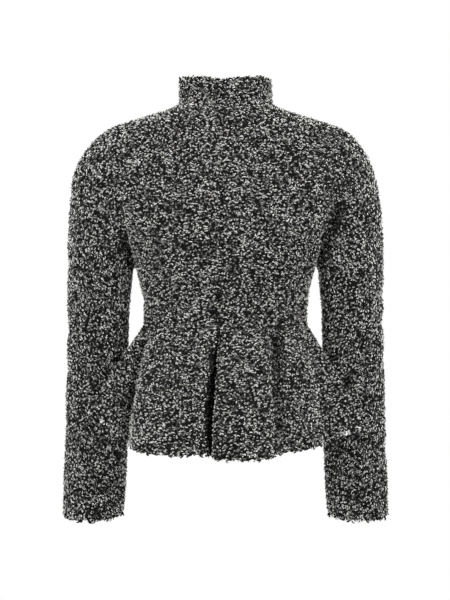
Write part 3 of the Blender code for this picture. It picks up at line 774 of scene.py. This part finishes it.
def add_loops(name, cloth, face, light_share, chance, material):
    """Raised curls all over a cloth's face.

    Along each curl, t runs from -1 to 1: the path is an arc of a circle that lies on the cloth and is drawn
    out along the row, turned by chance. It rises by one less t squared, so both ends sink into the cloth.
    """
    sizes = bpy.context.scene.jacket_sizes
    row, column = loop_places(cloth, sizes, chance)
    count = len(row)
    place = sampled(face, row, column, cloth.closed)
    up = unit(sampled(cloth.outward, row, column, cloth.closed))
    ahead = sampled(cloth.form, row, column + 0.5, cloth.closed)
    ahead = ahead - sampled(cloth.form, row, column - 0.5, cloth.closed)
    ahead = unit(ahead - np.sum(ahead * up, axis=1, keepdims=True) * up)
    across = np.cross(up, ahead)
    below = sampled(cloth.form, row + 0.5, column, cloth.closed)
    below = below - sampled(cloth.form, row - 0.5, column, cloth.closed)
    across = across * np.sign(np.sum(across * below, axis=1, keepdims=True))
    along_row = math.cos(cloth.lean) * ahead + math.sin(cloth.lean) * across
    off_row = math.cos(cloth.lean) * across - math.sin(cloth.lean) * ahead
    t = np.linspace(-1, 1, LOOP_POINTS)
    bend = chance.uniform(*LOOP_BENDS, count)[:, None]
    turn = chance.uniform(0, 2 * math.pi, count)[:, None] + bend * t
    radius = sizes.loop_width / 2 * chance.uniform(*LOOP_SIZES, count)[:, None]
    girth = sizes.loop_girth / 2 * chance.uniform(*LOOP_GIRTHS, count)[:, None]
    lift = sizes.loop_lift * chance.uniform(*LOOP_LIFTS, count)[:, None]
    drawn = sizes.loop_stretch * radius * np.cos(turn)
    rise = lift * (1 - t**2) - sizes.loop_sink
    centres = place[:, None] + drawn[..., None] * along_row[:, None]
    centres = centres + (radius * np.sin(turn))[..., None] * off_row[:, None] + rise[..., None] * up[:, None]
    shade = yarn_shades(count, light_share, chance)
    # Painted shade: loops on the lower front inside the centre pleat are made darker to stand in for its
    # shadow
    shade = np.where(column + chance.normal(0, PLEAT_SHADE_SPREAD, count) < cloth.light_to, shade, PLEAT_SHADE_SHARE * shade)
    return yarns(name, centres, girth + 0 * t, up, shade, material)


def add_fray(name, cloth, face, reach, chance, material):
    """Loose yarn ends along a cloth's last row, in tufts.

    Each end begins inside the cloth and is an arc: it turns evenly along its length, from the cloth's own
    direction to one side, by an angle that chance gives it.
    """
    sizes = bpy.context.scene.jacket_sizes
    rows, columns = face.shape[:2]
    length = cloth.across[-1, -1]
    tufts = max(2, round(length / sizes.tuft_spacing))
    tuft = np.repeat(np.arange(tufts), sizes.tuft_ends)
    count = len(tuft)
    centre = (np.arange(tufts) + chance.uniform(*TUFT_PLACES, tufts)) / tufts
    share = centre[tuft] + chance.normal(0, sizes.tuft_spacing * TUFT_SCATTER, count) / length
    share = share % 1.0 if cloth.closed else np.clip(share, CORNER, 1 - CORNER)
    column = share * (columns if cloth.closed else columns - 1)
    last = np.full(count, rows - 1.0)
    up = unit(sampled(cloth.outward, last, column, cloth.closed))
    edge = sampled(face, last, column, cloth.closed)
    away = unit(edge - sampled(face, last - 1, column, cloth.closed))
    side = np.cross(up, away)
    inside = CLOTH * chance.uniform(*END_DEPTHS, count)[:, None] * up + sizes.fray_root * away
    long = reach * chance.uniform(*TUFT_LENGTHS, tufts)[tuft] * chance.uniform(*END_LENGTHS, count)
    long = long + sizes.fray_root
    middle, width, more = LONG_TUFTS.get(name, NO_LONG_TUFT)
    long = long * (1 + more * np.exp(-(((share - middle) / width) ** 2)))
    bend = (chance.choice((-1, 1), count) * chance.uniform(*END_BENDS, count))[:, None]
    start = chance.normal(0, END_TURN, count)[:, None] - END_LEAN * bend
    t = np.linspace(0, 1, FRAY_POINTS)
    onward = long[:, None] * (np.sin(start + bend * t) - np.sin(start)) / bend
    aside = long[:, None] * (np.cos(start) - np.cos(start + bend * t)) / bend
    tilt = chance.normal(0, END_TILT, count)[:, None] * onward
    centres = (edge - inside)[:, None] + onward[..., None] * away[:, None]
    centres = centres + aside[..., None] * side[:, None] + tilt[..., None] * up[:, None]
    girth = sizes.fray_girth / 2 * chance.uniform(*END_GIRTHS, count)[:, None] * (1 - END_TAPER * t**2)
    shade = yarn_shades(count, sizes.fray_light_share, chance)
    # Painted shade: loose ends on the lower front inside the centre pleat are made darker to stand in for
    # its shadow
    shade = np.where(column < cloth.light_to, shade, PLEAT_SHADE_SHARE * shade)
    return yarns(name, centres, girth, up, shade, material)


# Materials


def feed(tree, target, inputs):
    """Set a node's inputs to values, or join them to outputs: another node stands for its first one."""
    for key, value in inputs.items():
        if isinstance(value, bpy.types.Node):
            value = value.outputs[0]
        if isinstance(value, bpy.types.NodeSocket):
            tree.links.new(value, target.inputs[key])
        else:
            target.inputs[key].default_value = value


def node(tree, kind, inputs, **settings):
    """A shader node with its settings and inputs."""
    made = tree.nodes.new("ShaderNode" + kind)
    for key, value in settings.items():
        setattr(made, key, value)
    feed(tree, made, inputs)
    return made


def new_group(name, inputs, outputs):
    """A shader node group with number inputs and their defaults, outputs, and its input and output nodes."""
    tree = bpy.data.node_groups.new(name, "ShaderNodeTree")
    for title, default in inputs.items():
        socket = tree.interface.new_socket(title, in_out="INPUT", socket_type="NodeSocketFloat")
        socket.default_value = default
    for title, kind in outputs.items():
        tree.interface.new_socket(title, in_out="OUTPUT", socket_type=f"NodeSocket{kind}")
    return tree, tree.nodes.new("NodeGroupInput"), tree.nodes.new("NodeGroupOutput")


def object_place(tree):
    """The output that gives a point's own place on the jacket."""
    return node(tree, "TexCoord", {}).outputs["Object"]


def yarn_colours():
    """Group: a shade from 0 to 1 to the yarn's colour, from black over grey to ivory, mixed by its second
    input towards near black as painted shade in hollows and in the centre pleat.

    Wide noise over the jacket shifts the shade, because the yarns bunch into lighter and darker patches.
    """
    if "yarn_colours" in bpy.data.node_groups:
        return bpy.data.node_groups["yarn_colours"]
    colours = bpy.context.scene.jacket_colours
    tree, given, made = new_group("yarn_colours", {"Shade": 0.5, "Hollow": 0.0}, {"Color": "Color"})
    patches = {"Vector": object_place(tree), "Scale": 1 / colours.patch_size, "Detail": 1.0}
    shifts = {"From Min": 0.3, "From Max": 0.7, "To Min": -colours.patchiness, "To Max": colours.patchiness}
    shift = node(tree, "MapRange", {"Value": node(tree, "TexNoise", patches), **shifts})
    shade = node(tree, "Math", {0: given.outputs["Shade"], 1: shift}, operation="ADD")
    ramp = node(tree, "ValToRGB", {"Fac": shade})
    elements = ramp.color_ramp.elements
    for _ in YARN_STOPS[2:]:
        elements.new(0.5)
    for element, (position, yarn) in zip(elements, YARN_STOPS):
        element.position, element.color = position, (*getattr(colours, yarn), 1.0)
    # Painted shade: the second input mixes the colour towards near black
    mixed = {"Factor": given.outputs["Hollow"], "A": ramp, "B": (*colours.painted_shade, 1.0)}
    shaded = node(tree, "Mix", mixed, data_type="RGBA")
    feed(tree, made, {"Color": shaded.outputs[2]})
    return tree


def boucle_ground():
    """Group: the shade and height of the flat loops between the raised ones.

    Cells wider than tall, warped by noise, have one shade each and are high in the middle; fine noise
    roughens them.
    """
    if "boucle_ground" in bpy.data.node_groups:
        return bpy.data.node_groups["boucle_ground"]
    sizes = bpy.context.scene.jacket_sizes
    tree, _, made = new_group("boucle_ground", {}, {"Shade": "Float", "Height": "Float"})
    cells = (1 / sizes.nub_length, 1 / sizes.nub_length, 1 / sizes.nub_width)
    scaled = node(tree, "VectorMath", {0: object_place(tree), 1: cells}, operation="MULTIPLY")
    wander = node(tree, "TexNoise", {"Vector": scaled, "Scale": 0.7, "Detail": 2.0}).outputs["Color"]
    centred = node(tree, "VectorMath", {0: wander, 1: (0.5, 0.5, 0.5)}, operation="SUBTRACT")
    shift = node(tree, "VectorMath", {0: centred, "Scale": 1.2}, operation="SCALE")
    warped = node(tree, "VectorMath", {0: scaled, 1: shift}, operation="ADD")
    loops = node(tree, "TexVoronoi", {"Vector": warped, "Scale": 1.0})
    fuzz = node(tree, "TexNoise", {"Vector": scaled, "Scale": 4.0, "Detail": 3.0})
    chance = node(tree, "SeparateColor", {"Color": loops.outputs["Color"]})
    lighter = node(tree, "Math", {0: chance, 1: sizes.ground_shade}, operation="ADD")
    shade = node(tree, "Math", {0: fuzz, 1: 0.5, 2: lighter}, operation="MULTIPLY_ADD")
    dome = node(tree, "MapRange", {"Value": loops, "From Max": 0.9, "To Min": 1.0, "To Max": 0.0})
    rough = node(tree, "Math", {0: fuzz, 1: 0.4, 2: dome}, operation="MULTIPLY_ADD")
    feed(tree, made, {"Shade": shade, "Height": rough})
    return tree


def new_material(name):
    """A new material with its node tree and its shader."""
    material = bpy.data.materials.new(name)
    material.use_nodes = True
    return material, material.node_tree, material.node_tree.nodes["Principled BSDF"]


def wool(tree, shader, shades, bumps):
    """Give a shader the yarns' colours and bumps, and the dull surface and faint sheen of wool."""
    colours = node(tree, "Group", shades, node_tree=yarn_colours())
    feed(tree, shader, {"Base Color": colours, "Normal": node(tree, "Bump", bumps)})
    feed(tree, shader, {"Roughness": 0.95, "Specular IOR Level": 0.03})
    feed(tree, shader, {"Sheen Weight": 0.02, "Sheen Roughness": 0.6})


def cloth_material():
    """Ground of the boucle: flat loops in black, grey and ivory, with painted shade: near black between the
    flat loops where they are low, and in the centre pleat where the cloth is marked dark.
    """
    if "boucle_cloth" in bpy.data.materials:
        return bpy.data.materials["boucle_cloth"]
    material, tree, shader = new_material("boucle_cloth")
    ground = node(tree, "Group", {}, node_tree=boucle_ground())
    height = ground.outputs["Height"]
    # Painted shade between the flat loops: where the ground is low its colour goes towards near black
    hollow_shade_range = {"From Min": 0.25, "From Max": 0.75, "To Min": 0.9, "To Max": 0.0}
    painted_shade = node(tree, "MapRange", {"Value": height, **hollow_shade_range})
    # Painted shade inside the centre pleat: the cloth's marked columns go fully towards near black
    dark = node(tree, "Attribute", {}, attribute_name="dark").outputs["Fac"]
    pleat_and_hollow_shade = node(tree, "Math", {0: painted_shade, 1: dark}, operation="MAXIMUM")
    bumps = {"Height": height, "Strength": 0.9, "Distance": 0.0015}
    wool(tree, shader, {"Shade": ground, "Hollow": pleat_and_hollow_shade}, bumps)
    return material


def yarn_material(name, streak_scale):
    """Yarn of the loops or of the frayed ends: each piece has its own shade, streaked by fine noise."""
    if name in bpy.data.materials:
        return bpy.data.materials[name]
    material, tree, shader = new_material(name)
    own = node(tree, "Attribute", {}, attribute_name="yarn").outputs["Fac"]
    streak = node(tree, "TexNoise", {"Vector": object_place(tree), "Scale": streak_scale, "Detail": 2.0})
    shade = node(tree, "Math", {0: streak, 1: STREAK, 2: own}, operation="MULTIPLY_ADD")
    centred = node(tree, "Math", {0: shade, 1: STREAK / 2}, operation="SUBTRACT")
    wool(tree, shader, {"Shade": centred}, {"Height": streak, "Strength": 0.6, "Distance": 0.0006})
    return material


# Dressing the frame


def dress(name, cloth, fray=None):
    sizes = bpy.context.scene.jacket_sizes
    chance = np.random.default_rng(list(name.encode()))
    push = creased(name, cloth)
    relief = sizes.relief * np.clip(chance.normal(0, 1, push.shape), -RELIEF_MOST, RELIEF_MOST)
    face = settled(folded(cloth.form + cloth.outward * (push + relief)[..., None]))
    reverse = settled(folded(cloth.form + cloth.outward * (push - CLOTH)[..., None]))
    panel = shell(f"{name}_cloth", face, reverse, cloth.closed, cloth_material())
    # Painted shade: the columns inside the centre pleat are marked, and the cloth's colour goes to near
    # black there
    dark = np.tile(np.arange(face.shape[1]) >= cloth.light_to, 2 * face.shape[0])
    panel.data.attributes.new("dark", "FLOAT", "POINT").data.foreach_set("value", dark.astype(np.float32))
    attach(panel, "root")
    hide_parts(name)
    # Painted light: the collar gets a larger share of light loops for the light from above
    light = sizes.light_share + PAINTED_TOP_LIGHT.get(name, 0.0)
    loop_yarn = yarn_material("boucle_loops", LOOPS_STREAK)
    loops = add_loops(f"{name}_loops", cloth, face, light, chance, loop_yarn)
    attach(loops, "root")
    if fray:
        node_name, reach = fray
        loose_yarn = yarn_material("boucle_ends", ENDS_STREAK)
        ends = add_fray(f"{node_name}_ends", cloth, face, reach, chance, loose_yarn)
        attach(ends, "root")
        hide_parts(node_name)
    area = float(face_areas(cloth).sum())


# Settings, operators and panel


def number_prop(name, description, default, **kind):
    """A number among the settings, with its unit or subtype."""
    return bpy.props.FloatProperty(name=name, description=description, default=default, **kind)


def colour_prop(name, description, default):
    """A colour among the settings."""
    kind = {"default": default, "subtype": "COLOR"}
    return bpy.props.FloatVectorProperty(name=name, description=description, **kind)


length_prop = functools.partial(number_prop, unit="LENGTH")
power_prop = functools.partial(number_prop, unit="POWER")
share_prop = functools.partial(number_prop, subtype="FACTOR")


class JacketSizes(bpy.types.PropertyGroup):
    """Sizes of the cloth's relief, loops and frayed edges"""

    relief: length_prop("Relief", "How far the cloth's face rises and sinks", 0.0005)
    edge_roll: length_prop("Edge roll", "How far an edge or seam rolls inwards", 0.0002)
    edge_roll_width: length_prop("Edge roll width", "How far from the edge the roll begins", 0.0050)
    nub_length: length_prop("Nub length", "Length of a flat loop in the ground", 0.0025)
    nub_width: length_prop("Nub width", "Width of a flat loop in the ground", 0.002)
    ground_shade: number_prop("Ground shade", "How much lighter or darker the flat loops are", -0.41)
    loop_row: length_prop("Loop row", "Distance between rows of raised loops", 0.0041)
    loop_spacing: length_prop("Loop spacing", "Distance between loops in a row", 0.0054)
    loop_width: length_prop("Loop width", "Usual width of a raised loop", 0.0022)
    loop_stretch: number_prop("Loop stretch", "How much longer than wide a loop is", 1.5)
    loop_girth: length_prop("Loop girth", "Usual thickness of a loop's yarn", 0.0014)
    loop_lift: length_prop("Loop lift", "Usual height of a raised loop", 0.002)
    loop_sink: length_prop("Loop sink", "Depth of a loop's ends in the cloth", 0.0005)
    light_share: share_prop("Light share", "Share of the loops in ivory and grey yarn", 0.74)
    fray_light_share: share_prop("Light share of the fray", "Share of the loose ends in light yarn", 0.36)
    hem_fray: length_prop("Hem fray", "Longest loose end at the hem", 0.0105)
    cuff_fray: length_prop("Cuff fray", "Longest loose end at a cuff", 0.013)
    collar_fray: length_prop("Collar fray", "Longest loose end at the collar", 0.0075)
    fray_girth: length_prop("Fray girth", "Usual thickness of a loose end", 0.0028)
    fray_root: length_prop("Fray root", "How far back in the cloth a loose end begins", 0.0035)
    tuft_spacing: length_prop("Tuft spacing", "Distance between tufts of loose ends", 0.0064)
    tuft_ends: bpy.props.IntProperty(name="Tuft ends", description="Loose ends in a tuft", default=5)


class JacketColours(bpy.types.PropertyGroup):
    """Colours of the yarns"""

    black: colour_prop("Black", "Darkest yarn", (0.0045, 0.0045, 0.0042))
    charcoal: colour_prop("Charcoal", "Dark yarn", (0.020, 0.020, 0.0188))
    grey: colour_prop("Grey", "Middle yarn", (0.20, 0.20, 0.19))
    ivory: colour_prop("Ivory", "Lightest yarn", (0.72, 0.72, 0.685))
    # Colour of painted shade, in the hollows between the flat loops and inside the centre pleat
    painted_shade: colour_prop("Hollow", "Depth between the loops", (0.003, 0.003, 0.003))
    patch_size: length_prop("Patch size", "Usual width of a lighter or darker patch", 0.020)
    patchiness: share_prop("Patchiness", "How far the patches shift the yarns' shade", 0.055)


class JacketStage(bpy.types.PropertyGroup):
    """Light, floor and camera"""

    distance: length_prop("Camera distance", "From the camera to the jacket's middle", 3.0)
    frame_height: length_prop("Frame height", "Height of the picture at the jacket's middle", 0.978)
    eye_height: length_prop("Eye height", "Height of the camera over the origin", -0.318)
    floor_height: length_prop("Floor height", "Height of the floor under the jacket", -1.33)
    floor_radius: length_prop("Floor radius", "Half the width of the round floor", 3.0)
    key_power: power_prop("Key power", "Strength of the main light", 32.0)
    fill_power: power_prop("Fill power", "Strength of the light from the other side", 30.0)
    top_power: power_prop("Top power", "Strength of the light from above", 30.0)
    backdrop: colour_prop("Backdrop", "Colour of the floor and the room", (1.0, 1.0, 1.0))
    room_light: number_prop("Room light", "Brightness of the room round the jacket", 1.0)


class JACKET_OT_bodice(bpy.types.Operator):
    """Make the bodice's two lapped fronts and its back"""

    bl_idname = "jacket.bodice"
    bl_label = "Bodice"

    def execute(self, context):
        for name in ("bodice_front_left", "bodice_front_right", "bodice_back"):
            dress(name, bodice_cloth(name))
        return {"FINISHED"}


class JACKET_OT_collar(bpy.types.Operator):
    """Make the funnel collar with its frayed edge"""

    bl_idname = "jacket.collar"
    bl_label = "Collar"

    def execute(self, context):
        sizes = context.scene.jacket_sizes
        dress("collar", collar_cloth(), ("collar_fray", sizes.collar_fray))
        return {"FINISHED"}


class JACKET_OT_sleeves(bpy.types.Operator):
    """Make the two set-in sleeves with their frayed cuffs"""

    bl_idname = "jacket.sleeves"
    bl_label = "Sleeves"

    def execute(self, context):
        sizes = context.scene.jacket_sizes
        for side in ("left", "right"):
            name = f"sleeve_{side}"
            dress(name, sleeve_cloth(name), (f"cuff_fray_{side}", sizes.cuff_fray))
        return {"FINISHED"}


class JACKET_OT_peplum(bpy.types.Operator):
    """Make the fluted peplum's three parts with their frayed hem"""

    bl_idname = "jacket.peplum"
    bl_label = "Peplum"

    def execute(self, context):
        sizes = context.scene.jacket_sizes
        for part in ("front_left", "front_right", "back"):
            name = f"peplum_{part}"
            dress(name, peplum_cloth(name), (f"hem_fray_{part}", sizes.hem_fray))
        return {"FINISHED"}


class JACKET_OT_stage(bpy.types.Operator):
    """Make the floor, the lights and the camera"""

    bl_idname = "jacket.stage"
    bl_label = "Stage"

    def execute(self, context):
        stage = context.scene.jacket_stage
        make_camera(context.scene, stage)
        make_floor(stage)
        make_room(context.scene, stage)
        for name, place, width, power in LIGHTS:
            lamp = bpy.data.lights.new(name, "AREA")
            lamp.shape, lamp.size, lamp.energy = "DISK", width, getattr(stage, power)
            light = bpy.data.objects.new(name, lamp)
            light.location = place
            light.rotation_euler = (Vector(LIT_PLACE) - light.location).to_track_quat("-Z", "Y").to_euler()
            context.scene.collection.objects.link(light)
        return {"FINISHED"}


def make_camera(scene, stage):
    """A camera straight in front, whose picture is as tall as the stage says at the jacket's middle."""
    lens = bpy.data.cameras.new("camera")
    lens.sensor_fit, lens.sensor_height = "VERTICAL", SENSOR_HEIGHT
    lens.lens = lens.sensor_height * stage.distance / stage.frame_height
    camera = bpy.data.objects.new("camera", lens)
    camera.location = (CAMERA_SIDE, -stage.distance, stage.eye_height)
    camera.rotation_euler = (math.pi / 2, 0, 0)
    scene.collection.objects.link(camera)
    scene.camera = camera


def make_floor(stage):
    """A round floor: rings whose radius grows evenly, by angle."""
    radii = np.linspace(FLOOR_HOLE, stage.floor_radius, FLOOR_RINGS)
    radius, angle = np.meshgrid(radii, np.linspace(0, 2 * math.pi, FLOOR_SPOKES + 1)[:-1])
    height = 0 * radius + stage.floor_height
    points = np.stack([radius * np.cos(angle), radius * np.sin(angle), height], axis=-1)
    rows, columns = radius.shape
    row, column = np.meshgrid(np.arange(rows), np.arange(columns - 1), indexing="ij")
    after = (row + 1) % rows
    ring = (row, column), (row, column + 1), (after, column + 1), (after, column)
    faces = np.stack([(r * columns + c).ravel() for r, c in ring], axis=-1)
    material, tree, shader = new_material("floor")
    feed(tree, shader, {"Base Color": (*stage.backdrop, 1.0), "Roughness": 0.9})
    mesh_object("floor", points.reshape(-1, 3), faces, {}, material)


def make_room(scene, stage):
    """A pale room that lights the jacket from all sides."""
    world = bpy.data.worlds.new("room")
    world.use_nodes = True
    room = world.node_tree.nodes["Background"]
    feed(world.node_tree, room, {"Color": (*stage.backdrop, 1.0), "Strength": stage.room_light})
    scene.world = world
    scene.view_settings.view_transform = "Standard"


STEPS = (JACKET_OT_stage, JACKET_OT_bodice, JACKET_OT_collar, JACKET_OT_sleeves, JACKET_OT_peplum)


class JACKET_PT_pieces(bpy.types.Panel):
    """Lists the jacket's pieces and the stage"""

    bl_label = "Boucle jacket"
    bl_idname = "JACKET_PT_pieces"
    bl_space_type = "VIEW_3D"
    bl_region_type = "UI"
    bl_category = "Jacket"

    def draw(self, context):
        for step in STEPS:
            self.layout.operator(step.bl_idname)


SETTINGS = {"jacket_sizes": JacketSizes, "jacket_colours": JacketColours, "jacket_stage": JacketStage}
CLASSES = (*SETTINGS.values(), *STEPS, JACKET_PT_pieces)


def register():
    for item in CLASSES:
        bpy.utils.register_class(item)
    for name, group in SETTINGS.items():
        setattr(bpy.types.Scene, name, bpy.props.PointerProperty(type=group))


def unregister():
    for name in SETTINGS:
        delattr(bpy.types.Scene, name)
    for item in reversed(CLASSES):
        bpy.utils.unregister_class(item)


def main():
    register()
    bpy.ops.jacket.stage()
    bpy.ops.jacket.bodice()
    bpy.ops.jacket.collar()
    bpy.ops.jacket.sleeves()
    bpy.ops.jacket.peplum()


if __name__ == "__main__":
    main()
